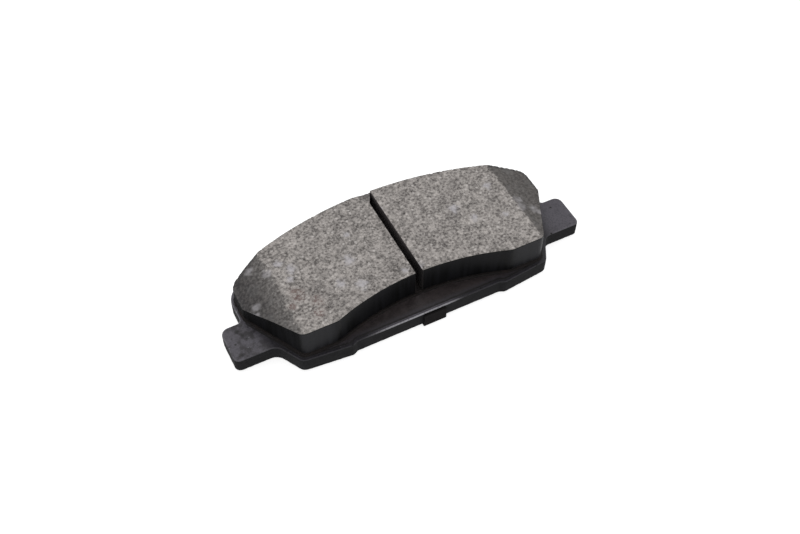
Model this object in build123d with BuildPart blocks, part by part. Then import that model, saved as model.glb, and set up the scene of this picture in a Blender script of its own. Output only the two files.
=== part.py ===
from build123d import *
from math import asin, cos, radians, sin, sqrt, tan
import os

# Disc brake pad. +Z runs from the back of the shim to the rubbing face, +X along the pad,
# +Y away from the disc's axle. The origin is under the middle of the pad, on the shim's back.
# All dimensions are in millimetres.

# --- the circle family that the pad follows: every arc is centred on the disc's axle ---
axle_y = -106.0
plate_outer_radius = 131.5
lining_outer_radius = 129.0
lining_inner_radius = 89.6

# --- thicknesses, from the back upwards ---
outer_coat_thickness = 0.1
shim_core_thickness = 0.6
inner_coat_thickness = 0.1
shim_glue_thickness = 0.1
plate_thickness = 5.5
bond_thickness = 0.1
underlayer_thickness = 1.1
block_thickness = 10.6
flash_thickness = 0.25

# --- backing plate ---
plate_flank_angle = 29.0
shoulder_x = 57.45
shoulder_fillet = 8.0
recess_y = -24.5
recess_half_length = 26.6
foot_start_x = 28.4
foot_start_y = -25.4
foot_slope = 0.1
foot_fillet = 3.2
recess_end_fillet = 1.2
ear_tip_x = 65.0
ear_width = 14.2
ear_middle_y = -7.3
ear_inner_corner = 2.1
ear_outer_corner = 2.8
ear_inner_root = 4.0
ear_outer_root = 1.4
die_roll = 0.5

# --- compound-filled retention holes through the plate ---
hole_radius = 4.75
hole_x = 24.0
hole_y = 1.5

# --- friction lining ---
lining_flank_angle = 27.8
lining_end_x = 56.05
lining_foot_y = -22.2
lining_foot_fillet = 3.0
lining_waist_fillet = 4.0
lining_lower_end_fillet = 0.8
lining_upper_end_fillet = 4.0
groove_width = 2.46
chamfer_start_x = 43.7
chamfer_drop_left = 5.5
chamfer_drop_right = 4.6
flash_width = 0.8
web_start_y = 17.9
web_reach = 2.4
web_drop = 0.8

# --- bond film and shim outlines, drawn in from the plate's edge ---
bond_inset = 1.1
shim_inset = 1.4

# --- shim tongues, folded up over the plate's edge ---
tongue_width = 8.2
tongue_gap = 0.4
tongue_top_gap = 0.45
tongue_bend_radius = 0.3
tongue_root = 4.0
inner_tongue_x = 1.55
outer_tongue_x = 30.0

# --- levels ---
shim_core_bottom = outer_coat_thickness
inner_coat_bottom = shim_core_bottom + shim_core_thickness
shim_glue_bottom = inner_coat_bottom + inner_coat_thickness
plate_bottom = shim_glue_bottom + shim_glue_thickness
plate_top = plate_bottom + plate_thickness
underlayer_bottom = plate_top + bond_thickness
block_bottom = underlayer_bottom + underlayer_thickness
rubbing_face = block_bottom + block_thickness
tongue_top = plate_top - tongue_top_gap


def arc_y(radius, x):
    """Height in Y, at x, of a circle round the disc's axle."""
    return axle_y + sqrt(radius**2 - x**2)


def flank_x(angle, y):
    """Where the radial line at this angle from the pad's middle passes y."""
    return (y - axle_y) * tan(radians(angle))


def flank_y(angle, x):
    """Where the radial line at this angle from the pad's middle passes x."""
    return axle_y + x / tan(radians(angle))


def corners(sketch, x, y):
    """A sketch's corners at (x, y) and (-x, y)."""
    return sketch.vertices().filter_by(
        lambda v: abs(abs(v.X) - x) < 0.01 and abs(v.Y - y) < 0.01
    )


# where the plate's sloping foot meets its radial flank
flank_slope = tan(radians(plate_flank_angle))
foot_run = (flank_slope * (foot_start_y - axle_y) - foot_start_x) / (1 - flank_slope * foot_slope)
foot_corner_x = foot_start_x + foot_run
foot_corner_y = foot_start_y + foot_slope * foot_run
shoulder_low_y = flank_y(plate_flank_angle, shoulder_x)
shoulder_top_y = arc_y(plate_outer_radius, shoulder_x)
# where the lining's inner arc runs into its straight foot
inner_arc_end_x = sqrt(lining_inner_radius**2 - (lining_foot_y - axle_y) ** 2)


def body_face(sketch, inset):
    """The plate's body without its ears, drawn in by inset all round."""
    with BuildLine() as outline:
        Polyline(
            (0, recess_y),
            (recess_half_length, recess_y),
            (foot_start_x, foot_start_y),
            (foot_corner_x, foot_corner_y),
            (shoulder_x, shoulder_low_y),
            (shoulder_x, shoulder_top_y),
        )
        ThreePointArc(
            (shoulder_x, shoulder_top_y),
            (shoulder_x / 2, arc_y(plate_outer_radius, shoulder_x / 2)),
            (0, arc_y(plate_outer_radius, 0)),
        )
        mirror(about=Plane.YZ)
    make_face(outline.edges())
    fillet(corners(sketch, foot_corner_x, foot_corner_y), foot_fillet)
    fillet(corners(sketch, shoulder_x, shoulder_top_y), shoulder_fillet)
    fillet(corners(sketch, recess_half_length, recess_y), recess_end_fillet)
    fillet(corners(sketch, foot_start_x, foot_start_y), recess_end_fillet)
    if inset:
        offset(amount=-inset, mode=Mode.REPLACE)


def lining_edges(side, start_x):
    """One half of the lining's outline, from the inner arc round its end to the outer arc."""
    inner_middle_x = (start_x + inner_arc_end_x) / 2
    outer_middle_x = (start_x + lining_end_x) / 2
    ThreePointArc(
        (side * start_x, arc_y(lining_inner_radius, start_x)),
        (side * inner_middle_x, arc_y(lining_inner_radius, inner_middle_x)),
        (side * inner_arc_end_x, lining_foot_y),
    )
    Polyline(
        (side * inner_arc_end_x, lining_foot_y),
        (side * flank_x(lining_flank_angle, lining_foot_y), lining_foot_y),
        (side * lining_end_x, flank_y(lining_flank_angle, lining_end_x)),
        (side * lining_end_x, arc_y(lining_outer_radius, lining_end_x)),
    )
    ThreePointArc(
        (side * lining_end_x, arc_y(lining_outer_radius, lining_end_x)),
        (side * outer_middle_x, arc_y(lining_outer_radius, outer_middle_x)),
        (side * start_x, arc_y(lining_outer_radius, start_x)),
    )


def round_lining(sketch):
    """Round the corners of a lining outline."""
    foot_x = flank_x(lining_flank_angle, lining_foot_y)
    low_end_y = flank_y(lining_flank_angle, lining_end_x)
    high_end_y = arc_y(lining_outer_radius, lining_end_x)
    fillet(corners(sketch, foot_x, lining_foot_y), lining_foot_fillet)
    fillet(corners(sketch, lining_end_x, low_end_y), lining_lower_end_fillet)
    fillet(corners(sketch, lining_end_x, high_end_y), lining_upper_end_fillet)
    fillet(corners(sketch, inner_arc_end_x, lining_foot_y), lining_waist_fillet)


def lining_face(sketch):
    """The footprint of the whole lining, both blocks and the groove between them."""
    with BuildLine() as outline:
        lining_edges(1, 0)
        lining_edges(-1, 0)
    make_face(outline.edges())
    round_lining(sketch)


def tongue(edge_x, edge_y, out_x, out_y):
    """A shim tongue: out past the plate's edge at (edge_x, edge_y), then folded up beside it."""
    outward = Vector(out_x, out_y, 0)
    profile_plane = Plane(
        origin=(edge_x, edge_y, 0), x_dir=outward, z_dir=outward.cross(Vector(0, 0, 1))
    )
    far_face = tongue_gap + shim_core_thickness
    with BuildSketch(profile_plane) as profile:
        with BuildLine():
            Polyline(
                (-tongue_root, shim_core_bottom),
                (far_face, shim_core_bottom),
                (far_face, tongue_top),
                (tongue_gap, tongue_top),
                (tongue_gap, inner_coat_bottom),
                (-tongue_root, inner_coat_bottom),
                close=True,
            )
        make_face()
        fillet(corners(profile, tongue_gap, inner_coat_bottom), tongue_bend_radius)
        fillet(
            corners(profile, far_face, shim_core_bottom),
            tongue_bend_radius + shim_core_thickness,
        )
    extrude(profile.sketch, amount=tongue_width / 2, both=True)


# --- the pieces, from the back upwards ---
hole_places = [(-hole_x, hole_y), (hole_x, hole_y)]

with BuildPart() as shim_outer_coat:
    with BuildSketch() as shim_outline:
        body_face(shim_outline, shim_inset)
    extrude(amount=outer_coat_thickness)

with BuildPart() as shim_core:
    with BuildSketch(Plane.XY.offset(shim_core_bottom)) as shim_outline:
        body_face(shim_outline, shim_inset)
    extrude(amount=shim_core_thickness)
    tongue(inner_tongue_x, recess_y, 0, -1)
    for side in (-1, 1):
        lean = side * asin(outer_tongue_x / plate_outer_radius)
        tongue(
            plate_outer_radius * sin(lean),
            axle_y + plate_outer_radius * cos(lean),
            sin(lean),
            cos(lean),
        )

with BuildPart() as shim_inner_coat:
    with BuildSketch(Plane.XY.offset(inner_coat_bottom)) as shim_outline:
        body_face(shim_outline, shim_inset)
    extrude(amount=inner_coat_thickness)

with BuildPart() as shim_adhesive:
    with BuildSketch(Plane.XY.offset(shim_glue_bottom)) as shim_outline:
        body_face(shim_outline, shim_inset)
    extrude(amount=shim_glue_thickness)

with BuildPart() as backing_plate:
    with BuildSketch(Plane.XY.offset(plate_bottom)) as plate_outline:
        body_face(plate_outline, 0)
        with Locations((0, ear_middle_y)):
            Rectangle(2 * ear_tip_x, ear_width)
        ear_low_y = ear_middle_y - ear_width / 2
        ear_high_y = ear_middle_y + ear_width / 2
        root_x = flank_x(plate_flank_angle, ear_low_y)
        fillet(corners(plate_outline, ear_tip_x, ear_low_y), ear_inner_corner)
        fillet(corners(plate_outline, ear_tip_x, ear_high_y), ear_outer_corner)
        fillet(corners(plate_outline, root_x, ear_low_y), ear_inner_root)
        fillet(corners(plate_outline, shoulder_x, ear_high_y), ear_outer_root)
    extrude(amount=plate_thickness)
    # the punch draws the upper edge down; the lower edge stays sharp
    fillet(backing_plate.faces().sort_by(Axis.Z)[-1].outer_wire().edges(), die_roll)
    with BuildSketch(Plane.XY.offset(plate_bottom)):
        with Locations(*hole_places):
            Circle(hole_radius)
    extrude(amount=plate_thickness, mode=Mode.SUBTRACT)

with BuildPart() as bond_adhesive:
    with BuildSketch(Plane.XY.offset(plate_top)) as bond_outline:
        body_face(bond_outline, bond_inset)
        with Locations(*hole_places):
            Circle(hole_radius, mode=Mode.SUBTRACT)
    extrude(amount=bond_thickness)

with BuildPart() as underlayer:
    with BuildSketch(Plane.XY.offset(underlayer_bottom)) as layer_outline:
        lining_face(layer_outline)
    extrude(amount=underlayer_thickness)
    # the thin flash squeezed out of the mould round the foot
    with BuildSketch(Plane.XY.offset(underlayer_bottom)) as flash_outline:
        lining_face(flash_outline)
        offset(amount=flash_width, mode=Mode.REPLACE)
    extrude(amount=flash_thickness)
    # the plugs that fill the plate's retention holes
    with BuildSketch(Plane.XY.offset(plate_bottom)):
        with Locations(*hole_places):
            Circle(hole_radius)
    extrude(amount=underlayer_bottom - plate_bottom)


def friction_block(side, chamfer_drop, has_web):
    """One block of the lining, with its end chamfered across the pad."""
    with BuildPart() as block:
        with BuildSketch(Plane.XY.offset(block_bottom)) as block_outline:
            with BuildLine():
                lining_edges(side, groove_width / 2)
                Line(
                    (side * groove_width / 2, arc_y(lining_outer_radius, groove_width / 2)),
                    (side * groove_width / 2, arc_y(lining_inner_radius, groove_width / 2)),
                )
            make_face()
            round_lining(block_outline)
        extrude(amount=block_thickness)
        with BuildSketch(Plane.XZ):
            with BuildLine():
                Polyline(
                    (side * chamfer_start_x, rubbing_face),
                    (side * lining_end_x, rubbing_face - chamfer_drop),
                    (side * (lining_end_x + 1), rubbing_face - chamfer_drop),
                    (side * (lining_end_x + 1), rubbing_face + 1),
                    (side * chamfer_start_x, rubbing_face + 1),
                    close=True,
                )
            make_face()
        extrude(amount=plate_outer_radius, both=True, mode=Mode.SUBTRACT)
        if has_web:
            # a web of moulding flash that all but closes the groove's far end
            wall_x = groove_width / 2
            far_y = arc_y(lining_outer_radius, wall_x)
            with BuildSketch(Plane.XY.offset(block_bottom)):
                with BuildLine():
                    Polyline(
                        (side * wall_x, web_start_y),
                        (side * wall_x, far_y),
                        (side * (wall_x - web_reach), far_y),
                        close=True,
                    )
                make_face()
            extrude(amount=block_thickness - web_drop)
    return block


friction_block_left = friction_block(-1, chamfer_drop_left, has_web=True)
friction_block_right = friction_block(1, chamfer_drop_right, has_web=False)

pieces = {
    "shim_outer_coat": shim_outer_coat,
    "shim_core": shim_core,
    "shim_inner_coat": shim_inner_coat,
    "shim_adhesive": shim_adhesive,
    "backing_plate": backing_plate,
    "bond_adhesive": bond_adhesive,
    "underlayer": underlayer,
    "friction_block_left": friction_block_left,
    "friction_block_right": friction_block_right,
}

os.makedirs("parts", exist_ok=True)
for name, piece in pieces.items():
    piece.part.label = name
    export_step(piece.part, f"parts/{name}.step")
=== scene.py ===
"""Looks for the disc brake pad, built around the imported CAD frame.

Sizes below are in millimetres, as in the CAD source; meshes are written in metres.
"""
from math import acos, atan2, ceil, cos, exp, log, pi, radians, sin, sqrt, tan

import bpy
import numpy as np
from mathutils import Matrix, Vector, noise
from mathutils.geometry import delaunay_2d_cdt
from mathutils.kdtree import KDTree


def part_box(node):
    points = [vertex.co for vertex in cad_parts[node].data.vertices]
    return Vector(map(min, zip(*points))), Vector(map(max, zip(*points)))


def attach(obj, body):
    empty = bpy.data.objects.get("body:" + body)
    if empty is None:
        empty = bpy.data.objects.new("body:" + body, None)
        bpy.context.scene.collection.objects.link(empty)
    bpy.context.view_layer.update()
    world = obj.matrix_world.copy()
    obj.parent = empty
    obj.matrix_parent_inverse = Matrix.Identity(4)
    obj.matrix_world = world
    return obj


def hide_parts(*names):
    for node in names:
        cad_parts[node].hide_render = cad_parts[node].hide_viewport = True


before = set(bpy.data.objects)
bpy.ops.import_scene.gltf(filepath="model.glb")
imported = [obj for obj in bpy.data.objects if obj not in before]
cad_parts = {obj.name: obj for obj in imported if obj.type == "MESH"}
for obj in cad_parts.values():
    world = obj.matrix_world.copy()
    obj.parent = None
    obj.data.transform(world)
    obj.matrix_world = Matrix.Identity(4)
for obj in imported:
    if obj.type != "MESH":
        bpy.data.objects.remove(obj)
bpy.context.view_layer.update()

MM = 0.001

# --- the circle family that the pad follows: every arc is centred on the disc's axle ---
AXLE = (0.0, -106.0)
PLATE_OUTER_RADIUS = 131.5
LINING_OUTER_RADIUS = 129.0
LINING_INNER_RADIUS = 89.6

# --- backing plate ---
PLATE_FLANK_ANGLE = 29.0
SHOULDER_X = 57.45
SHOULDER_FILLET = 8.0
RECESS_Y = -24.5
RECESS_HALF_LENGTH = 26.6
FOOT_START = (28.4, -25.4)
FOOT_SLOPE = 0.1
FOOT_FILLET = 3.2
RECESS_END_FILLET = 1.2
EAR_TIP_X = 65.0
EAR_LOW_Y = -14.4
EAR_HIGH_Y = -0.2
EAR_INNER_CORNER = 2.1
EAR_OUTER_CORNER = 2.8
EAR_INNER_ROOT = 4.0
EAR_OUTER_ROOT = 1.4
DIE_ROLL = 0.5
HOLE_RADIUS = 4.75
HOLE_PLACES = ((-24.0, 1.5), (24.0, 1.5))

# --- friction lining ---
LINING_FLANK_ANGLE = 27.8
LINING_END_X = 56.05
LINING_FOOT_Y = -22.2
LINING_FOOT_FILLET = 3.0
LINING_WAIST_FILLET = 4.0
LINING_LOWER_END_FILLET = 0.8
LINING_UPPER_END_FILLET = 4.0
GROOVE_HALF_WIDTH = 1.23
CHAMFER_START_X = 43.7
CHAMFER_DROP_LEFT = 5.5
CHAMFER_DROP_RIGHT = 4.6
FLASH_WIDTH = 0.8
WEB_START_Y = 17.9
WEB_REACH = 2.4
WEB_DROP = 0.8
WEB_OVERLAP = 0.2
FLASH_THICKNESS = 0.25
END_WEAR = 0.9
CREASE_SOFTNESS = 0.18
BOND_INSET = 1.1
SHIM_INSET = 1.4

# --- levels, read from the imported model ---
COAT_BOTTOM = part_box("shim_outer_coat")[0].z / MM
COAT_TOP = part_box("shim_outer_coat")[1].z / MM
PLATE_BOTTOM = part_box("backing_plate")[0].z / MM
PLATE_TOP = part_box("backing_plate")[1].z / MM
LAYER_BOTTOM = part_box("bond_adhesive")[1].z / MM
LAYER_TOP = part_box("underlayer")[1].z / MM
RUBBING_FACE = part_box("friction_block_left")[1].z / MM


# ---------------------------------------------------------------- outlines


def circle_points(centre, radius, start, end, spacing=0.3):
    """Points on a circle from angle start to angle end, both included."""
    count = max(2, ceil(abs(end - start) * radius / spacing))
    angles = [start + (end - start) * i / count for i in range(count + 1)]
    return [(centre[0] + radius * cos(a), centre[1] + radius * sin(a)) for a in angles]


def between_points(centre, radius, start, end):
    """The shorter arc of a circle from one of its points to another."""
    first = atan2(start[1] - centre[1], start[0] - centre[0])
    last = atan2(end[1] - centre[1], end[0] - centre[0])
    turn = (last - first + pi) % (2 * pi) - pi
    return circle_points(centre, radius, first, first + turn)


def corner_arc(before, corner, after, radius):
    """The arc that rounds a corner between two straight edges."""
    here = Vector(corner)
    back = (Vector(before) - here).normalized()
    on = (Vector(after) - here).normalized()
    half = acos(max(-1.0, min(1.0, back.dot(on)))) / 2
    reach = radius / tan(half)
    centre = here + (back + on).normalized() * (radius / sin(half))
    return between_points(centre, radius, here + back * reach, here + on * reach)


def outline_of(corners):
    """A closed outline from (x, y) points and (x, y, fillet radius) corners."""
    points = []
    for i, corner in enumerate(corners):
        if len(corner) == 2:
            points.append(corner)
            continue
        before = corners[i - 1][:2]
        after = corners[(i + 1) % len(corners)][:2]
        points += corner_arc(before, corner[:2], after, corner[2])
    return points


def end_corner(x, radius, fillet):
    """The arc that rounds the corner between the line at x and a circle round the axle."""
    centre = (x - fillet, AXLE[1] + sqrt((radius - fillet) ** 2 - (x - fillet) ** 2))
    lean = radius / (radius - fillet)
    touch = (centre[0] * lean, AXLE[1] + (centre[1] - AXLE[1]) * lean)
    return between_points(centre, fillet, (x, centre[1]), touch)


def waist_corner():
    """The arc that rounds the corner between the lining's inner arc and its straight foot."""
    centre_y = LINING_FOOT_Y + LINING_WAIST_FILLET
    reach = LINING_INNER_RADIUS + LINING_WAIST_FILLET
    centre = (sqrt(reach**2 - (centre_y - AXLE[1]) ** 2), centre_y)
    lean = LINING_INNER_RADIUS / reach
    touch = (centre[0] * lean, AXLE[1] + (centre[1] - AXLE[1]) * lean)
    return between_points(centre, LINING_WAIST_FILLET, touch, (centre[0], LINING_FOOT_Y))


def arc_y(radius, x):
    """Height in Y, at x, of a circle round the disc's axle."""
    return AXLE[1] + sqrt(radius**2 - x**2)


def flank_x(angle, y):
    """Where the radial line at this angle from the pad's middle passes y."""
    return (y - AXLE[1]) * tan(radians(angle))


def flank_y(angle, x):
    """Where the radial line at this angle from the pad's middle passes x."""
    return AXLE[1] + x / tan(radians(angle))


def mirrored(half):
    """A closed outline from its right half, which runs from the near middle to the far middle."""
    return half + [(-p[0], *p[1:]) for p in reversed(half)]


def plate_foot():
    """The plate's near edge, from the middle to the foot's outer corner."""
    slope = tan(radians(PLATE_FLANK_ANGLE))
    run = (slope * (FOOT_START[1] - AXLE[1]) - FOOT_START[0]) / (1 - slope * FOOT_SLOPE)
    return [
        (RECESS_HALF_LENGTH, RECESS_Y, RECESS_END_FILLET),
        (*FOOT_START, RECESS_END_FILLET),
        (FOOT_START[0] + run, FOOT_START[1] + FOOT_SLOPE * run, FOOT_FILLET),
    ]


def plate_far_edge():
    """The plate's far edge, from the shoulder to near the middle."""
    shoulder = end_corner(SHOULDER_X, PLATE_OUTER_RADIUS, SHOULDER_FILLET)
    top = between_points(AXLE, PLATE_OUTER_RADIUS, shoulder[-1], (0.2, arc_y(PLATE_OUTER_RADIUS, 0.2)))
    return shoulder + top[1:]


def plate_outline():
    """The plate with its ears."""
    ears = [
        (flank_x(PLATE_FLANK_ANGLE, EAR_LOW_Y), EAR_LOW_Y, EAR_INNER_ROOT),
        (EAR_TIP_X, EAR_LOW_Y, EAR_INNER_CORNER),
        (EAR_TIP_X, EAR_HIGH_Y, EAR_OUTER_CORNER),
        (SHOULDER_X, EAR_HIGH_Y, EAR_OUTER_ROOT),
    ]
    return outline_of(mirrored(plate_foot() + ears + plate_far_edge()))


def body_outline():
    """The plate's body without its ears."""
    flank_end = [(SHOULDER_X, flank_y(PLATE_FLANK_ANGLE, SHOULDER_X), 1.0)]
    return outline_of(mirrored(plate_foot() + flank_end + plate_far_edge()))


def lining_half(start_x):
    """Half of the lining's outline, from the inner arc at start_x round its end."""
    waist = waist_corner()
    inner_start = (start_x, arc_y(LINING_INNER_RADIUS, start_x))
    inner = between_points(AXLE, LINING_INNER_RADIUS, inner_start, waist[0])
    upper = end_corner(LINING_END_X, LINING_OUTER_RADIUS, LINING_UPPER_END_FILLET)
    outer_end = (start_x, arc_y(LINING_OUTER_RADIUS, start_x))
    outer = between_points(AXLE, LINING_OUTER_RADIUS, upper[-1], outer_end)
    foot = [
        (flank_x(LINING_FLANK_ANGLE, LINING_FOOT_Y), LINING_FOOT_Y, LINING_FOOT_FILLET),
        (LINING_END_X, flank_y(LINING_FLANK_ANGLE, LINING_END_X), LINING_LOWER_END_FILLET),
    ]
    return inner + waist[1:] + foot + upper + outer[1:]


def lining_outline():
    """The whole lining, both blocks and the groove between them."""
    return outline_of(mirrored(lining_half(0.2)))


def block_outline(side, far_corner):
    """One block. far_corner lists its corners at the groove's far end, as if on the right."""
    near = (GROOVE_HALF_WIDTH, arc_y(LINING_INNER_RADIUS, GROOVE_HALF_WIDTH), 0.3)
    corners = [near, *lining_half(GROOVE_HALF_WIDTH + 1.2), *far_corner]
    points = outline_of(corners)
    if side < 0:
        points = [(-x, y) for x, y in reversed(points)]
    return points


def evenly_spaced(points, spacing):
    """A closed outline again, with its points the same distance apart."""
    loop = np.array(list(points) + [points[0]], float)
    along = np.concatenate([[0], np.cumsum(np.hypot(*np.diff(loop, axis=0).T))])
    count = ceil(along[-1] / spacing)
    places = np.arange(count) * along[-1] / count
    return np.column_stack([np.interp(places, along, loop[:, k]) for k in (0, 1)])


def inward_normals(loop):
    """Unit normals of an outline that runs anticlockwise, pointing into it."""
    run = np.roll(loop, -1, axis=0) - np.roll(loop, 1, axis=0)
    run /= np.hypot(*run.T)[:, None]
    return np.column_stack([-run[:, 1], run[:, 0]])


def tree_of(points):
    """A search tree over points in the XY plane."""
    tree = KDTree(len(points))
    for i, point in enumerate(points):
        tree.insert((point[0], point[1], 0), i)
    tree.balance()
    return tree


def drawn_in(points, amount):
    """An outline drawn in by an amount, without the loops that tight corners would leave."""
    loop = evenly_spaced(points, 0.15)
    moved = loop + inward_normals(loop) * amount
    tree = tree_of(loop)
    kept = [p for p in moved if tree.find((p[0], p[1], 0))[2] > amount - 0.01]
    return [tuple(p) for p in kept]


# ---------------------------------------------------------------- meshes


def inside(points, loop):
    """Which points lie inside a closed outline."""
    result = np.zeros(len(points), bool)
    following = np.roll(loop, -1, axis=0)
    for (ax, ay), (bx, by) in zip(loop, following):
        if ay == by:
            continue
        spans = (ay > points[:, 1]) != (by > points[:, 1])
        crossing = ax + (points[:, 1] - ay) * (bx - ax) / (by - ay)
        result ^= spans & (points[:, 0] < crossing)
    return result


def scattered(loop, spacing, holes, random):
    """Points about this far apart inside an outline, and outside its holes."""
    low = loop.min(0)
    high = loop.max(0)
    row_step = spacing * sqrt(3) / 2
    rows = []
    for k, y in enumerate(np.arange(low[1], high[1], row_step)):
        x = np.arange(low[0] + (k % 2) * spacing / 2, high[0], spacing)
        rows.append(np.column_stack([x, np.full(len(x), y)]))
    grid = np.concatenate(rows)
    grid += random.uniform(-0.22, 0.22, grid.shape) * spacing
    grid = grid[inside(grid, loop)]
    for hole in holes:
        grid = grid[~inside(grid, hole)]
    tree = tree_of(np.concatenate([loop, *holes]))
    far_enough = [tree.find((x, y, 0))[2] > 0.62 * spacing for x, y in grid]
    return grid[np.array(far_enough, bool)]


def cap_faces(loops, extra):
    """Triangles that fill the first loop, less the others. They index loops, then extra."""
    points = np.concatenate([*loops, extra])
    edges = []
    start = 0
    for loop in loops:
        count = len(loop)
        edges += [(start + i, start + (i + 1) % count) for i in range(count)]
        start += count
    found = delaunay_2d_cdt([Vector(p) for p in points], edges, [], 1, 1e-7)
    source = [originals[0] for originals in found[3]]
    faces = np.array([[source[i] for i in face] for face in found[2]])
    middles = points[faces].mean(1)
    keep = np.ones(len(faces), bool)
    for loop in loops[1:]:
        keep &= ~inside(middles, loop)
    faces = faces[keep]
    a, b, c = (points[faces[:, k]] for k in range(3))
    turn = (b[:, 0] - a[:, 0]) * (c[:, 1] - a[:, 1]) - (b[:, 1] - a[:, 1]) * (c[:, 0] - a[:, 0])
    faces[turn < 0] = faces[turn < 0][:, ::-1]
    return faces


class Slab:
    """A closed slab: a finely meshed top, an edge profile, a wall in rows, and a base.

    edge lists (inset, drop) from the top outwards. lower_edge lists (inset, rise) from
    the wall's foot inwards. top gives the top's level at (x, y).
    """

    def __init__(self, points, top, bottom, edge, row_height, ring_spacing, cap_spacing,
                 base_spacing, lower_edge=((0.0, 0.0),), holes=(), seed=1):
        random = np.random.default_rng(seed)
        loop = evenly_spaced(points, ring_spacing)
        normals = inward_normals(loop)
        heights = np.array([top(x, y) for x, y in loop])
        rings = []
        levels = []
        for inset, drop in edge:
            rings.append(loop + normals * inset)
            levels.append(heights - drop)
        wall_top = heights - edge[-1][1]
        wall_foot = bottom + lower_edge[0][1]
        rows = ceil(float((wall_top - wall_foot).max()) / row_height)
        for row in range(1, rows):
            share = row / rows
            rings.append(loop + normals * (edge[-1][0] + (lower_edge[0][0] - edge[-1][0]) * share))
            levels.append(wall_top + (wall_foot - wall_top) * share)
        for inset, rise in lower_edge:
            rings.append(loop + normals * inset)
            levels.append(np.full(len(loop), bottom + rise))
        hole_loops = [evenly_spaced(hole, 0.5) for hole in holes]
        cap = scattered(rings[0], cap_spacing, hole_loops, random)
        base = scattered(rings[-1], base_spacing, hole_loops, random)
        parts = []
        faces = []
        count = len(loop)
        for ring, level in zip(rings, levels):
            parts.append(np.column_stack([ring, level]))
        for k in range(len(rings) - 1):
            for i in range(count):
                j = (i + 1) % count
                faces.append((k * count + i, (k + 1) * count + i,
                              (k + 1) * count + j, k * count + j))
        total = count * len(rings)
        hole_starts = []
        for hole in hole_loops:
            hole_top = total
            hole_base = total + len(hole)
            parts.append(np.column_stack([hole, [top(x, y) for x, y in hole]]))
            parts.append(np.column_stack([hole, np.full(len(hole), bottom)]))
            total += 2 * len(hole)
            hole_starts.append((hole_top, hole_base))
            for i in range(len(hole)):
                j = (i + 1) % len(hole)
                faces.append((hole_top + i, hole_top + j, hole_base + j, hole_base + i))
        cap_start = total
        parts.append(np.column_stack([cap, [top(x, y) for x, y in cap]]))
        base_start = total + len(cap)
        parts.append(np.column_stack([base, np.full(len(base), bottom)]))
        last = count * (len(rings) - 1)
        for ring_start, which, extra_start, extra, flip in (
            (0, 0, cap_start, cap, False),
            (last, 1, base_start, base, True),
        ):
            ring = rings[-1] if flip else rings[0]
            where = list(range(ring_start, ring_start + count))
            for hole, starts in zip(hole_loops, hole_starts):
                where += range(starts[which], starts[which] + len(hole))
            where += range(extra_start, extra_start + len(extra))
            where = np.array(where)
            triangles = where[cap_faces([ring, *hole_loops], extra)]
            if flip:
                triangles = triangles[:, ::-1]
            faces += [tuple(t) for t in triangles.tolist()]
        self.points = np.concatenate(parts)
        self.faces = faces
        self.outward = np.zeros((len(self.points), 2))
        self.outward[: count * len(rings)] = np.tile(-normals, (len(rings), 1))
        # 1 on the top, 0 everywhere else
        self.on_top = np.zeros(len(self.points))
        self.on_top[:count] = 1
        self.on_top[cap_start:base_start] = 1
        self.edge_points = count * len(edge)
        self.ring_count = count
        self.ring_points = count * len(rings)


def make_piece(name, slab, material, slot, attributes=None, sharp=None):
    """A Blender object from a slab, riding on the pad and standing for its CAD node."""
    mesh = bpy.data.meshes.new(name)
    mesh.from_pydata((slab.points * MM).tolist(), [], slab.faces)
    mesh.validate()
    mesh.shade_smooth()
    if sharp:
        mesh.set_sharp_from_angle(angle=radians(sharp))
    for key, values in (attributes or {}).items():
        layer = mesh.attributes.new(key, "FLOAT", "POINT")
        layer.data.foreach_set("value", np.asarray(values, np.float32))
    mesh.materials.append(material)
    piece = bpy.data.objects.new(name, mesh)
    bpy.context.scene.collection.objects.link(piece)
    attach(piece, "root")
    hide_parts(slot[0])
    return piece


def wave(x, y, z, size, offset=0.0):
    """Smooth noise from -1 to 1, with features about this size."""
    return noise.noise(Vector((x / size + offset, y / size - offset, z / size + offset)))


def step(value, low, high):
    """0 below low, 1 above high, and smooth between."""
    share = np.clip((value - low) / (high - low), 0, 1)
    return share * share * (3 - 2 * share)


# ---------------------------------------------------------------- materials


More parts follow.
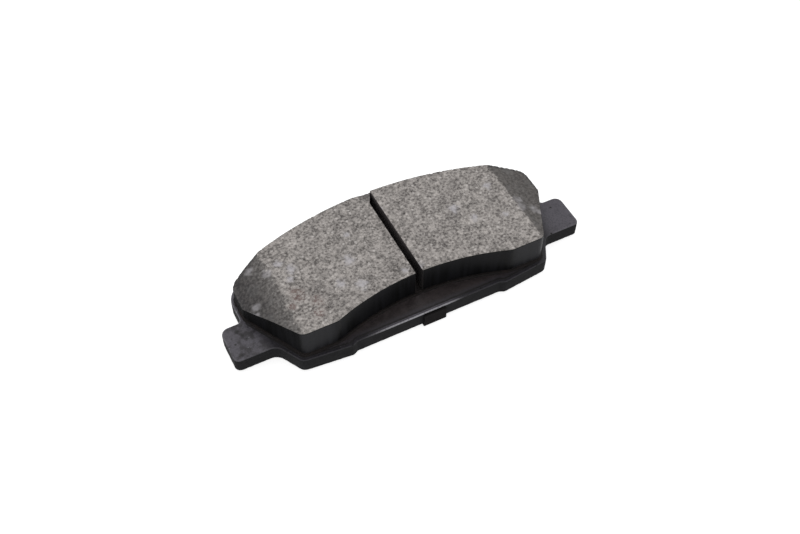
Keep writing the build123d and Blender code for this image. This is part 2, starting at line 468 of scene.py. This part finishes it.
class Finish:
    """A short way to build one procedural material."""

    def __init__(self, name):
        self.material = bpy.data.materials.new(name)
        self.material.use_nodes = True
        self.tree = self.material.node_tree
        self.shader = self.tree.nodes["Principled BSDF"]
        place = self.tree.nodes.new("ShaderNodeTexCoord")
        scaled = self.tree.nodes.new("ShaderNodeVectorMath")
        scaled.operation = "SCALE"
        scaled.inputs["Scale"].default_value = 1 / MM
        self.tree.links.new(place.outputs["Object"], scaled.inputs[0])
        self.place = scaled.outputs[0]
        self.facing = self.tree.nodes.new("ShaderNodeNewGeometry").outputs["Normal"]

    def feed(self, socket, value):
        if isinstance(value, bpy.types.NodeSocket):
            self.tree.links.new(value, socket)
        else:
            socket.default_value = value

    def stretched(self, stretch, shift=0.0):
        """The place in millimetres, divided by a stretch along each axis."""
        node = self.tree.nodes.new("ShaderNodeMapping")
        node.inputs["Scale"].default_value = [1 / s for s in stretch]
        node.inputs["Location"].default_value = (shift, -shift, shift)
        self.tree.links.new(self.place, node.inputs["Vector"])
        return node.outputs[0]

    def noise(self, size, detail=2.0, roughness=0.5, stretch=(1, 1, 1), shift=0.0):
        """Smooth noise from 0 to 1, with features about this size."""
        node = self.tree.nodes.new("ShaderNodeTexNoise")
        node.inputs["Scale"].default_value = 1.0
        node.inputs["Detail"].default_value = detail
        node.inputs["Roughness"].default_value = roughness
        where = self.stretched([size * s for s in stretch], shift)
        self.tree.links.new(where, node.inputs["Vector"])
        return node.outputs["Fac"]

    def cells(self, size, shift=0.0):
        """Voronoi cells: the distance from each cell's point, and a random value per cell."""
        node = self.tree.nodes.new("ShaderNodeTexVoronoi")
        node.inputs["Scale"].default_value = 1.0
        self.tree.links.new(self.stretched((size, size, size), shift), node.inputs["Vector"])
        split = self.tree.nodes.new("ShaderNodeSeparateColor")
        self.tree.links.new(node.outputs["Color"], split.inputs[0])
        return node.outputs["Distance"], split.outputs[0]

    def painted(self, name):
        """A value that the mesh holds for each of its points."""
        node = self.tree.nodes.new("ShaderNodeAttribute")
        node.attribute_name = name
        return node.outputs["Fac"]

    def up(self):
        """How far the surface faces up: 1 flat on top, 0 on a wall."""
        split = self.tree.nodes.new("ShaderNodeSeparateXYZ")
        self.tree.links.new(self.facing, split.inputs[0])
        return split.outputs["Z"]

    def math(self, operation, first, second=0.0):
        node = self.tree.nodes.new("ShaderNodeMath")
        node.operation = operation
        self.feed(node.inputs[0], first)
        self.feed(node.inputs[1], second)
        return node.outputs[0]

    def ramp(self, value, low, high, to_low=0.0, to_high=1.0):
        """The value mapped from low..high onto to_low..to_high, smoothly, and held outside."""
        node = self.tree.nodes.new("ShaderNodeMapRange")
        node.interpolation_type = "SMOOTHSTEP"
        self.feed(node.inputs["Value"], value)
        node.inputs["From Min"].default_value = low
        node.inputs["From Max"].default_value = high
        node.inputs["To Min"].default_value = to_low
        node.inputs["To Max"].default_value = to_high
        return node.outputs[0]

    def mix(self, share, first, second):
        """Two colours mixed: first at 0, second at 1."""
        node = self.tree.nodes.new("ShaderNodeMix")
        node.data_type = "RGBA"
        self.feed(node.inputs[0], share)
        self.feed(node.inputs[6], first if not isinstance(first, tuple) else (*first, 1))
        self.feed(node.inputs[7], second if not isinstance(second, tuple) else (*second, 1))
        return node.outputs[2]

    def mix_value(self, share, first, second):
        """Two numbers mixed: first at 0, second at 1."""
        node = self.tree.nodes.new("ShaderNodeMix")
        node.data_type = "FLOAT"
        self.feed(node.inputs[0], share)
        self.feed(node.inputs[2], first)
        self.feed(node.inputs[3], second)
        return node.outputs[0]

    def bump(self, height, depth):
        """Relief of this depth, in millimetres."""
        node = self.tree.nodes.new("ShaderNodeBump")
        node.inputs["Distance"].default_value = depth * MM
        self.feed(node.inputs["Height"], height)
        self.tree.links.new(node.outputs[0], self.shader.inputs["Normal"])

    def look(self, colour, roughness, specular=0.5):
        self.feed(self.shader.inputs["Base Color"], colour)
        self.feed(self.shader.inputs["Roughness"], roughness)
        self.shader.inputs["Specular IOR Level"].default_value = specular


def friction_finish():
    """Ground friction compound on the faces, smoother on the chamfers, near black on the walls."""
    f = Finish("friction_compound")
    # the rubbing face: warm grey grains, with light and dark flecks
    grain = f.noise(0.88, 3.0, 0.66)
    fine = f.noise(0.4, 1.0, 0.5, shift=7.0)
    patch = f.noise(3.0, 2.0, 0.55, shift=13.0)
    cloud = f.noise(9.0, 3.0, 0.6, shift=2.0)
    shade = f.math("ADD", grain, f.math("MULTIPLY", f.math("SUBTRACT", patch, 0.5), 0.3))
    shade = f.math("ADD", shade, f.math("MULTIPLY", f.math("SUBTRACT", cloud, 0.5), 0.25))
    body = f.mix(f.ramp(shade, 0.2, 0.84), (0.03, 0.027, 0.026), (0.495, 0.46, 0.436))
    body = f.mix(f.ramp(fine, 0.35, 0.7, 0.0, 0.25), body, (0.4, 0.376, 0.36))
    near, pick = f.cells(1.3, 3.0)
    light = f.math("MULTIPLY", f.ramp(near, 0.15, 0.5, 0.75, 0.0), f.ramp(pick, 0.8, 0.88))
    body = f.mix(light, body, (0.52, 0.49, 0.47))
    near, pick = f.cells(1.3, 11.0)
    dark = f.math("MULTIPLY", f.ramp(near, 0.15, 0.5, 0.75, 0.0), f.ramp(pick, 0.72, 0.78))
    body = f.mix(dark, body, (0.095, 0.087, 0.083))
    # the chamfers: rubbed smoother and darker, sooty towards the left end, and painted shade along
    # their far, rounded edge
    rubbed = f.noise(1.0, 3.0, 0.65, shift=5.0)
    smudge = f.noise(3.2, 2.0, 0.5, shift=9.0)
    slope = f.mix(f.ramp(rubbed, 0.3, 0.7), (0.07, 0.065, 0.062), (0.142, 0.133, 0.127))
    slope = f.mix(f.ramp(smudge, 0.52, 0.72, 0.0, 0.5), slope, (0.16, 0.155, 0.152))
    coarse = f.math("MULTIPLY", f.painted("coarse"), f.ramp(grain, 0.42, 0.68))
    slope = f.mix(coarse, slope, (0.23, 0.218, 0.21))
    # soot towards the left end, together with painted shade along the chamfer's far edge
    soot_and_edge_shade = f.math("MULTIPLY", f.painted("soot_and_edge_shade"), f.ramp(rubbed, 0.35, 0.7, 1.0, 0.55))
    slope = f.mix(soot_and_edge_shade, slope, (0.03, 0.029, 0.032))
    body = f.mix(f.painted("chamfer"), body, slope)
    pale = f.math("MULTIPLY", f.painted("pale"), f.ramp(grain, 0.3, 0.6, 0.7, 1.0))
    body = f.mix(pale, body, (0.465, 0.448, 0.47))
    rust = f.math("MULTIPLY", f.painted("rust"), f.ramp(grain, 0.35, 0.55, 1.0, 0.25))
    body = f.mix(rust, body, (0.19, 0.125, 0.112))
    # the moulded walls
    stripe = f.noise(1.5, 2.0, 0.5, stretch=(1, 1, 14))
    wall = f.mix(f.ramp(stripe, 0.3, 0.7), (0.0028, 0.0028, 0.003), (0.006, 0.006, 0.007))
    # the near wall by each foot corner is painted lighter: a painted reflection of the bright floor
    foot = f.math("MULTIPLY", f.painted("foot"), f.ramp(stripe, 0.3, 0.7, 0.6, 1.0))
    wall = f.mix(foot, wall, (0.0155, 0.0155, 0.0175))
    # the groove's walls are lighter, with painted shade darkening them towards the near end
    wall = f.mix(f.painted("groove"), wall, (0.085, 0.076, 0.076))
    colour = f.mix(f.painted("ground"), wall, body)
    polish = f.ramp(stripe, 0.3, 0.7, 0.34, 0.44)
    polish = f.mix_value(f.painted("matt"), polish, 0.85)
    rough = f.mix_value(f.painted("ground"), polish, 0.82)
    f.look(colour, rough, specular=0.06)
    relief = f.mix_value(f.painted("ground"), f.math("MULTIPLY", stripe, 0.15), grain)
    f.bump(relief, 0.05)
    return f.material


def plate_finish():
    """Black paint with a grey bloom where it lies flat, with painted shade and highlight in that
    bloom, and a painted highlight and a few chips along its rolled edge.
    """
    f = Finish("plate_paint")
    fine = f.noise(0.5, 3.0, 0.6)
    broad = f.noise(3.5, 3.0, 0.6, shift=4.0)
    paint = f.mix(f.ramp(fine, 0.3, 0.7), (0.0025, 0.0025, 0.003), (0.007, 0.007, 0.008))
    # grey bloom on flat faces; its per-point share is cut back as painted shade beside the lining and
    # raised as a painted highlight in the recess's middle
    bloom_with_painted_light = f.ramp(f.up(), 0.2, 0.75)
    bloom_with_painted_light = f.math("MULTIPLY", bloom_with_painted_light, f.ramp(broad, 0.25, 0.6, 0.75, 1.0))
    bloom_with_painted_light = f.math("MULTIPLY", bloom_with_painted_light, f.ramp(fine, 0.25, 0.6, 0.6, 1.0))
    bloom_with_painted_light = f.math("MULTIPLY", bloom_with_painted_light, f.painted("bloom_with_painted_light"))
    paint = f.mix(bloom_with_painted_light, paint, (0.087, 0.081, 0.096))
    cloudy = f.noise(3.4, 4.0, 0.65, shift=8.0)
    mottle = f.math("MULTIPLY", f.painted("mottle"), f.ramp(cloudy, 0.42, 0.6, 0.0, 1.0))
    mottle = f.math("MULTIPLY", mottle, f.ramp(f.up(), 0.2, 0.75))
    paint = f.mix(mottle, paint, (0.026, 0.023, 0.027))
    # painted highlight along the rolled edge, plus a few light chips in the paint
    rim_highlight_and_chips = f.math("MULTIPLY", f.painted("rim"), f.ramp(fine, 0.3, 0.6, 0.45, 1.0))
    rim_highlight_and_chips = f.math("MULTIPLY", rim_highlight_and_chips, f.ramp(f.up(), 0.1, 0.5))
    paint = f.mix(rim_highlight_and_chips, paint, (0.3, 0.295, 0.315))
    near, pick = f.cells(1.9, 6.0)
    speck = f.math("MULTIPLY", f.ramp(near, 0.06, 0.16, 1.0, 0.0), f.ramp(pick, 0.78, 0.82))
    speck = f.math("MULTIPLY", speck, f.ramp(f.up(), 0.3, 0.9))
    paint = f.mix(speck, paint, (0.15, 0.15, 0.165))
    near, pick = f.cells(2.0, 15.0)
    pit = f.math("MULTIPLY", f.ramp(near, 0.1, 0.26, 1.0, 0.0), f.ramp(pick, 0.62, 0.68))
    pit = f.math("MAXIMUM", pit, f.painted("pit"))
    paint = f.mix(pit, paint, (0.006, 0.006, 0.006))
    gloss = f.ramp(f.up(), 0.1, 0.6, 0.85, 0.3)
    f.look(paint, f.math("ADD", gloss, f.ramp(broad, 0.25, 0.75, 0.0, 0.1)), specular=0.2)
    f.bump(fine, 0.03)
    return f.material


def bond_finish():
    """Baked adhesive film: dull reddish brown, darker along its edge."""
    f = Finish("bond_resin")
    broad = f.noise(2.6, 3.0, 0.6)
    fine = f.noise(0.5, 2.0, 0.6, shift=3.0)
    film = f.mix(f.ramp(broad, 0.3, 0.7), (0.018, 0.014, 0.0143), (0.036, 0.028, 0.0285))
    film = f.mix(f.ramp(fine, 0.4, 0.75, 0.0, 0.5), film, (0.048, 0.04, 0.042))
    film = f.mix(f.painted("border"), film, (0.034, 0.031, 0.037))
    film = f.mix(f.painted("rim"), film, (0.006, 0.005, 0.005))
    # a painted highlight behind the left shoulder
    film = f.mix(f.painted("painted_shoulder_highlight"), film, (0.08, 0.075, 0.088))
    f.look(film, f.ramp(broad, 0.3, 0.7, 0.42, 0.58), specular=0.3)
    f.bump(fine, 0.04)
    return f.material


def underlayer_finish():
    """Dark reddish compound under the blocks."""
    f = Finish("underlayer_compound")
    grain = f.noise(0.6, 3.0, 0.6)
    broad = f.noise(3.0, 2.0, 0.5, shift=8.0)
    layer = f.mix(f.ramp(grain, 0.3, 0.7), (0.005, 0.0042, 0.0043), (0.013, 0.0098, 0.0096))
    layer = f.mix(f.ramp(broad, 0.5, 0.75, 0.0, 0.4), layer, (0.02, 0.0125, 0.0115))
    f.look(layer, f.ramp(grain, 0.3, 0.7, 0.5, 0.68), specular=0.15)
    f.bump(grain, 0.05)
    return f.material


def shim_steel_finish():
    """Thin steel sheet under a dark dip coat."""
    f = Finish("shim_steel")
    rolled = f.noise(0.5, 3.0, 0.6, stretch=(6, 1, 1))
    broad = f.noise(3.0, 2.0, 0.5, shift=2.0)
    steel = f.mix(f.ramp(rolled, 0.3, 0.7), (0.0045, 0.004, 0.0042), (0.009, 0.008, 0.0083))
    steel = f.mix(f.ramp(broad, 0.5, 0.75, 0.0, 0.5), steel, (0.015, 0.0125, 0.0125))
    f.look(steel, f.ramp(broad, 0.3, 0.7, 0.78, 0.88), specular=0.06)
    f.bump(rolled, 0.01)
    return f.material


def rubber_finish():
    """Matt black rubber coat on the shim."""
    f = Finish("shim_rubber")
    fine = f.noise(0.35, 2.0, 0.6)
    broad = f.noise(9.0, 3.0, 0.6, shift=5.0)
    coat = f.mix(f.ramp(fine, 0.3, 0.7), (0.018, 0.018, 0.019), (0.03, 0.03, 0.031))
    coat = f.mix(f.ramp(broad, 0.45, 0.75, 0.0, 0.5), coat, (0.05, 0.049, 0.05))
    f.look(coat, f.ramp(broad, 0.3, 0.7, 0.6, 0.75), specular=0.35)
    f.bump(fine, 0.03)
    return f.material


def glue_finish():
    """Tacky adhesive between shim and plate."""
    f = Finish("shim_glue")
    broad = f.noise(1.5, 3.0, 0.6)
    glue = f.mix(f.ramp(broad, 0.3, 0.7), (0.05, 0.046, 0.04), (0.09, 0.083, 0.072))
    f.look(glue, f.ramp(broad, 0.3, 0.7, 0.25, 0.4), specular=0.5)
    f.bump(broad, 0.02)
    return f.material


# ---------------------------------------------------------------- friction blocks

def strewn(seed, count, low, high, sizes):
    """Spots (x, y, radius) strewn at random over the rectangle from low to high."""
    random = np.random.default_rng(seed)
    return [(random.uniform(low[0], high[0]), random.uniform(low[1], high[1]),
             random.uniform(*sizes)) for _ in range(count)]


def spot_strength(points, spots, seed, ragged_by=0.45):
    """How strongly each point is inside one of the soft, ragged spots."""
    strength = np.zeros(len(points))
    for x, y, radius in spots:
        away = np.hypot(points[:, 0] - x, points[:, 1] - y)
        close = away < 2 * radius
        ragged = np.array([wave(*p, 1.3, seed) for p in points[close]])
        strength[close] = np.maximum(
            strength[close], 1 - step(away[close] / radius + ragged_by * ragged, 0.1, 1.25)
        )
    return strength


def rubbing_level(side, drop):
    """The top's level: flat, then falling along the end chamfer past a slightly soft crease."""
    slope = drop / (LINING_END_X - CHAMFER_START_X)
    softness = CREASE_SOFTNESS

    def level(x, y):
        past = (side * x - CHAMFER_START_X) / softness
        # a softened max(0, past), which equals past itself well beyond the crease
        eased = past if past > 30 else log(1 + exp(past))
        # the left end is ground deeper towards its near corner than the CAD has it
        deeper = END_WEAR * step(-x, 49.0, 56.0) * (1 - step(y, 3.0, 14.0))
        return RUBBING_FACE - slope * softness * eased - WEB_DROP * web_share(x, y, side) - deeper

    return level


def web_share(x, y, side):
    """1 on the web at the groove's far end, which is worn down with the corner beside it."""
    return step(x, -5.0, -1.5) * step(y, WEB_START_Y, 21.5) * (side < 0)


def roughen_block(slab, side, fuzz):
    """Ground grain on the top, striations on the walls, chipped edges. Returns the chamfer mask."""
    points = slab.points
    top = slab.on_top > 0.5
    past = side * points[:, 0] - CHAMFER_START_X
    ripple = np.array([wave(0, p[1], side * 5.0, 2.2) for p in points])
    fleck = np.array([wave(*p, 0.8, 2.0) for p in points])
    chamfer = step(past + fuzz * (0.6 * ripple + 0.9 * fleck), -0.5 * fuzz, 0.5 * fuzz)
    coarse = np.array([wave(*p, 0.75, 3.0) for p in points])
    fine = np.array([wave(*p, 0.38, 9.0) for p in points])
    pit = np.array([wave(*p, 1.3, 21.0) for p in points])
    depth = 0.05 * (1 - coarse) + 0.03 * (1 - fine) + 0.5 * np.maximum(0, pit - 0.45)
    depth *= 1 - 0.6 * chamfer
    points[top, 2] -= depth[top]
    # the wall's rings: striations that run up and down, and small chips at the upper edge
    rings = slice(0, slab.ring_points)
    rows = points[rings]
    streak = np.array([wave(p[0], p[1], p[2] / 12, 0.9, 4.0) for p in rows])
    swell = np.array([wave(p[0], p[1], p[2] / 3, 6.0, 4.0) for p in rows])
    move = -0.008 * (1 - streak) - 0.012 * (1 - swell)
    edge = np.zeros(len(rows))
    edge[: slab.edge_points] = 1
    edge[slab.edge_points : slab.edge_points + slab.ring_count] = 0.5
    chip = np.maximum(0, np.array([wave(p[0], p[1], 0, 0.7, 6.0) for p in rows]) - 0.15)
    move -= 0.25 * chip * edge
    rows[:, :2] += slab.outward[rings] * move[:, None]
    rows[:, 2] -= 0.35 * chip * edge
    return chamfer


def friction_block(side, drop, fuzz, soot_share, far_corner, name, material):
    """One block of the lining."""
    edge = ((0.1, 0.0), (0.03, 0.03), (0.0, 0.1))
    slab = Slab(
        block_outline(side, far_corner), rubbing_level(side, drop), LAYER_TOP,
        edge, row_height=0.42, ring_spacing=0.34, cap_spacing=0.27, base_spacing=1.5,
        seed=11 + side,
    )
    # pale flecks on the faces, fainter ones on the chamfers, a rusty tint near one corner
    face_spots = strewn(1, 14, (-42, -18), (42, 16), (0.8, 2.3))
    chamfer_spots = strewn(2 + side, 4, (44, -13), (54, 12), (1.5, 2.0))
    chamfer_spots = [(side * x, y, radius) for x, y, radius in chamfer_spots]
    rust_spots = strewn(4, 6, (-43, -19), (-34, -5), (1.3, 2.6))
    pale = 0.75 * spot_strength(slab.points, face_spots, 12.0, 0.7)
    pale = np.maximum(pale, 0.4 * spot_strength(slab.points, chamfer_spots, 13.0, 0.7))
    rust = spot_strength(slab.points, rust_spots, 17.0) * 0.6
    chamfer = roughen_block(slab, side, fuzz)
    web = web_share(slab.points[:, 0], slab.points[:, 1], side)
    chamfer = np.maximum(chamfer, 0.55 * web)
    past = side * slab.points[:, 0] - CHAMFER_START_X
    soot_and_edge_shade = step(past, -2.0, 12.0) * soot_share
    # the far edge of the chamfer is rubbed round; the shade on that rounded edge is painted in,
    # darkest at the outline
    rim = tree_of(slab.points[: slab.ring_count])
    from_rim = np.array([rim.find((p[0], p[1], 0))[2] for p in slab.points])
    far = step(slab.points[:, 1], -6.0, 4.0)
    soot_and_edge_shade = np.maximum(soot_and_edge_shade, 0.75 * far * (1 - step(from_rim, 0.1, 1.5)))
    coarse = (1 - step(past, 0.5, 9.0)) * step(fuzz, 0.5, 1.8)
    # the flanks and ends are duller than the near wall; the near wall's stretch by each foot corner is
    # painted lighter, a painted reflection of the bright floor
    matt = step(past, 0.3, 1.8)
    foot = step(past, -12.5, -8.5) * (1 - step(past, 0.0, 1.2))
    groove = 1 - step(np.abs(slab.points[:, 0]), GROOVE_HALF_WIDTH + 0.1, GROOVE_HALF_WIDTH + 0.3)
    # the groove's walls are painted darker towards its near end: painted shade inside the groove
    groove *= 0.25 + 0.75 * step(slab.points[:, 1], -15.0, -2.0)
    masks = {"ground": slab.on_top, "chamfer": chamfer, "soot_and_edge_shade": soot_and_edge_shade, "groove": groove,
             "pale": pale, "rust": rust, "coarse": coarse, "matt": matt, "foot": foot}
    return make_piece(name + "_moulded", slab, material, (name, "friction_compound"), masks)


def make_blocks():
    material = friction_finish()
    far_y = arc_y(LINING_OUTER_RADIUS, GROOVE_HALF_WIDTH)
    square = [(GROOVE_HALF_WIDTH, far_y, 0.1)]
    # a web of flash all but closes the groove's far end, on the left block
    web_tip = GROOVE_HALF_WIDTH - WEB_REACH - WEB_OVERLAP
    web = [(web_tip, far_y, 0.1), (GROOVE_HALF_WIDTH, WEB_START_Y, 0.8)]
    friction_block(-1, CHAMFER_DROP_LEFT, 1.8, 0.75, web, "friction_block_left", material)
    friction_block(1, CHAMFER_DROP_RIGHT, 0.6, 0.15, square, "friction_block_right", material)


# ---------------------------------------------------------------- plate and thin layers


def ring_of(centre, radius):
    """A closed circle without a repeated point."""
    return circle_points(centre, radius, 0, 2 * pi, 0.5)[:-1]


def make_plate():
    """The punched plate: rolled over at its upper edge, sharp below, shot-blasted."""
    roll = [(DIE_ROLL * (1 - sin(a)), DIE_ROLL * (1 - cos(a)))
            for a in (0, pi / 12, pi / 6, pi / 4, pi / 3, 5 * pi / 12, pi / 2)]
    holes = [ring_of(place, HOLE_RADIUS) for place in HOLE_PLACES]
    slab = Slab(
        plate_outline(), lambda x, y: PLATE_TOP, PLATE_BOTTOM, roll, row_height=0.42,
        ring_spacing=0.4, cap_spacing=0.55, base_spacing=1.6,
        lower_edge=((0.0, 0.12), (0.04, 0.03), (0.12, 0.0)), holes=holes, seed=5,
    )
    points = slab.points
    pit = spot_strength(points, strewn(5, 4, (-64, -13), (-59, -1), (0.6, 0.9)), 2.0)
    upper = points[:, 2] > PLATE_TOP - 0.01
    dimple = np.array([wave(*p, 0.9, 1.0) for p in points])
    slow = np.array([wave(*p, 4.0, 3.0) for p in points])
    points[upper, 2] -= (0.02 * (1 - dimple) + 0.02 * (1 - slow) + 0.12 * pit)[upper]
    rings = slice(0, slab.ring_points)
    rows = points[rings]
    # sheared smooth above, torn rougher below
    torn = 1 - step(rows[:, 2], PLATE_BOTTOM + 0.8, PLATE_BOTTOM + 2.4)
    grit = np.array([wave(p[0], p[1], p[2] / 2, 0.8, 5.0) for p in rows])
    move = -0.015 - 0.015 * (1 - grit) - 0.05 * torn * (1 - grit)
    rows[:, :2] += slab.outward[rings] * move[:, None]
    # the rolled edge gets a painted highlight in the middle of the recess and, less, round the ears
    # and shoulders; the bloom is painted thin along the feet, as shade beside the lining, and full in
    # the recess's middle, as part of the highlight
    middle = step(points[:, 0], -25, -12) * (1 - step(points[:, 0], 6, 13))
    ears = step(np.abs(points[:, 0]), 49, 55.5)
    rim = np.zeros(len(points))
    rolled = slice(slab.ring_count, slab.edge_points)
    far = 0.4 + 0.6 * step(points[:, 1], -9.0, 1.0)
    rim[rolled] = np.maximum(middle, 0.3 * ears * far)[rolled]
    chips = strewn(6, 4, (-57.4, 4), (-56, 12), (0.3, 0.5))
    rim = np.maximum(rim, 0.8 * spot_strength(points, chips, 6.0))
    # bloom share: full on ears and shoulders, low along the feet as painted shade, high in the
    # recess's middle as painted highlight
    bloom_with_painted_light = np.maximum(ears, 0.3 + 0.6 * middle)
    mottle = step(-points[:, 0], 48, 56) * (1 - step(points[:, 1], -1.0, 3.0))
    make_piece("backing_plate_punched", slab, plate_finish(), ("backing_plate", "plate_paint"),
               {"pit": pit, "rim": rim, "bloom_with_painted_light": bloom_with_painted_light, "mottle": mottle}, sharp=50)


def make_bond():
    """The adhesive film on the plate, with an uneven edge."""
    outline = drawn_in(body_outline(), BOND_INSET)
    holes = [ring_of(place, HOLE_RADIUS) for place in HOLE_PLACES]
    slab = Slab(
        outline, lambda x, y: LAYER_BOTTOM, PLATE_TOP, ((0.25, 0.0), (0.08, 0.02), (0.0, 0.07)),
        row_height=0.1, ring_spacing=0.4, cap_spacing=0.6, base_spacing=2.5, holes=holes, seed=6,
    )
    points = slab.points
    upper = points[:, 2] > LAYER_BOTTOM - 0.01
    ripple = np.array([wave(*p, 1.6, 1.0) for p in points])
    points[upper, 2] -= (0.02 * (1 - ripple))[upper]
    rows = points[: slab.ring_points]
    ragged = np.array([wave(p[0], p[1], 0, 1.4, 5.0) for p in rows])
    rows[:, :2] -= slab.outward[: slab.ring_points] * (0.12 * (1 - ragged))[:, None]
    rim = np.zeros(len(points))
    rim[: slab.ring_points] = 1
    edge = tree_of(points[: slab.ring_count])
    from_edge = np.array([edge.find((p[0], p[1], 0))[2] for p in points])
    border = 0.8 * (1 - step(from_edge, 0.4, 2.2))
    rim = np.maximum(rim, 0.35 * step(points[:, 0], 24, 40))
    # the film is painted lighter behind the left shoulder: a painted highlight
    painted_shoulder_highlight = 0.8 * step(-points[:, 0], 51.0, 54.0) * step(points[:, 1], 2.0, 6.0)
    make_piece("bond_film", slab, bond_finish(), ("bond_adhesive", "bond_resin"),
               {"rim": rim, "border": border, "painted_shoulder_highlight": painted_shoulder_highlight})


def make_underlayer():
    """The layer under the blocks, with the thin flash squeezed out round its foot."""
    foot = FLASH_THICKNESS
    height = LAYER_TOP - LAYER_BOTTOM
    edge = ((0.3, 0.0), (0.05, 0.01), (0.03, 0.1), (0.03, height - foot - 0.15),
            (-0.06, height - foot - 0.02), (-0.3, height - foot + 0.06),
            (-FLASH_WIDTH + 0.1, height - foot + 0.12), (-FLASH_WIDTH, height - 0.02))
    slab = Slab(
        lining_outline(), lambda x, y: LAYER_TOP, LAYER_BOTTOM, edge,
        row_height=0.3, ring_spacing=0.36, cap_spacing=0.7, base_spacing=2.5,
        lower_edge=((-FLASH_WIDTH + 0.05, 0.0),), seed=7,
    )
    points = slab.points
    rows = points[: slab.ring_points]
    skirt = step(LAYER_TOP - rows[:, 2], height - foot - 0.1, height - foot + 0.1)
    ragged = np.array([wave(p[0], p[1], 0, 2.2, 5.0) for p in rows])
    ragged += 0.5 * np.array([wave(p[0], p[1], 0, 0.8, 8.0) for p in rows])
    move = -0.3 * skirt * np.clip(1 - ragged, 0, 2)
    rows[:, :2] += slab.outward[: slab.ring_points] * move[:, None]
    upper = points[:, 2] > LAYER_TOP - 0.01
    grit = np.array([wave(*p, 0.8, 1.0) for p in points])
    points[upper, 2] -= (0.03 * (1 - grit))[upper]
    make_piece("underlayer_moulded", slab, underlayer_finish(),
               ("underlayer", "underlayer_compound"))


def make_outer_coat(material):
    """The rubber coat on the shim's back."""
    outline = drawn_in(body_outline(), SHIM_INSET)
    slab = Slab(
        outline, lambda x, y: COAT_TOP, COAT_BOTTOM, ((0.1, 0.0), (0.0, 0.0)),
        row_height=0.05, ring_spacing=0.4, cap_spacing=2.5, base_spacing=0.8,
        lower_edge=((0.0, 0.06), (0.03, 0.02), (0.1, 0.0)), seed=8,
    )
    points = slab.points
    lower = points[:, 2] < COAT_BOTTOM + 0.01
    dimple = np.array([wave(*p, 1.5, 1.0) for p in points])
    points[lower, 2] += (0.012 * (1 - dimple))[lower]
    make_piece("shim_rubber_coat", slab, material, ("shim_outer_coat", "shim_rubber"))


def finish_cad_nodes(rubber):
    """Materials for the CAD pieces whose shape stays as it is."""
    steel = shim_steel_finish()
    glue = glue_finish()
    for node, material in (
        ("shim_core", steel), ("shim_inner_coat", rubber), ("shim_adhesive", glue),
    ):
        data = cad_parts[node].data
        data.materials.clear()
        data.materials.append(material)


# ---------------------------------------------------------------- floor, light and camera


def make_floor():
    """A plain pale floor just under the pad."""
    half = 3.0
    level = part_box("shim_outer_coat")[0].z - 0.00002
    mesh = bpy.data.meshes.new("floor")
    corners = [(-half, -half, level), (half, -half, level), (half, half, level), (-half, half, level)]
    mesh.from_pydata(corners, [], [(0, 1, 2, 3)])
    f = Finish("floor_paper")
    f.look(f.mix(f.ramp(f.noise(40.0), 0.3, 0.7), (0.46, 0.46, 0.46), (0.5, 0.5, 0.5)), 0.9, 0.1)
    f.shader.inputs["Emission Color"].default_value = (1, 1, 1, 1)
    f.shader.inputs["Emission Strength"].default_value = 0.78
    mesh.materials.append(f.material)
    floor = bpy.data.objects.new("floor", mesh)
    bpy.context.scene.collection.objects.link(floor)


def aim(thing, target):
    """Turn a light or camera to look at a point."""
    direction = Vector(target) - thing.location
    thing.rotation_mode = "QUATERNION"
    thing.rotation_quaternion = direction.to_track_quat("-Z", "Y")


def soft_light(name, place, size, power):
    data = bpy.data.lights.new(name, "AREA")
    data.shape = "DISK"
    data.size = size
    data.energy = power
    light = bpy.data.objects.new(name, data)
    light.location = place
    bpy.context.scene.collection.objects.link(light)
    aim(light, (0, 0, 0))


def make_lights():
    scene = bpy.context.scene
    scene.world = bpy.data.worlds.new("studio")
    scene.world.use_nodes = True
    background = scene.world.node_tree.nodes["Background"]
    background.inputs["Color"].default_value = (1.0, 1.0, 1.0, 1)
    background.inputs["Strength"].default_value = 0.85
    soft_light("overhead_softbox", (0.1, 0.45, 0.9), 0.7, 2.0)
    scene.view_settings.view_transform = "Standard"
    scene.view_settings.look = "None"


def make_camera():
    """The photograph's viewpoint: 52 degrees up, 27 degrees round to the left of the near side.

    The angle, distance, lens and shift come from fitting a pinhole camera to the pad's edges.
    """
    azimuth = radians(-27.034)
    elevation = radians(51.747)
    distance = 377.06 * MM
    data = bpy.data.cameras.new("camera")
    data.lens = 48.94
    data.sensor_width = 36.0
    data.shift_x = 0.00417
    data.shift_y = 0.00406
    data.clip_start = 0.01
    data.clip_end = 20.0
    camera = bpy.data.objects.new("camera", data)
    target = Vector((0, 0, 0.5 * MM))
    camera.location = target + distance * Vector(
        (sin(azimuth) * cos(elevation), -cos(azimuth) * cos(elevation), sin(elevation))
    )
    bpy.context.scene.collection.objects.link(camera)
    aim(camera, target)
    bpy.context.scene.camera = camera


make_camera()
make_lights()
make_floor()
make_blocks()
make_underlayer()
make_bond()
make_plate()
rubber_material = rubber_finish()
make_outer_coat(rubber_material)
finish_cad_nodes(rubber_material)
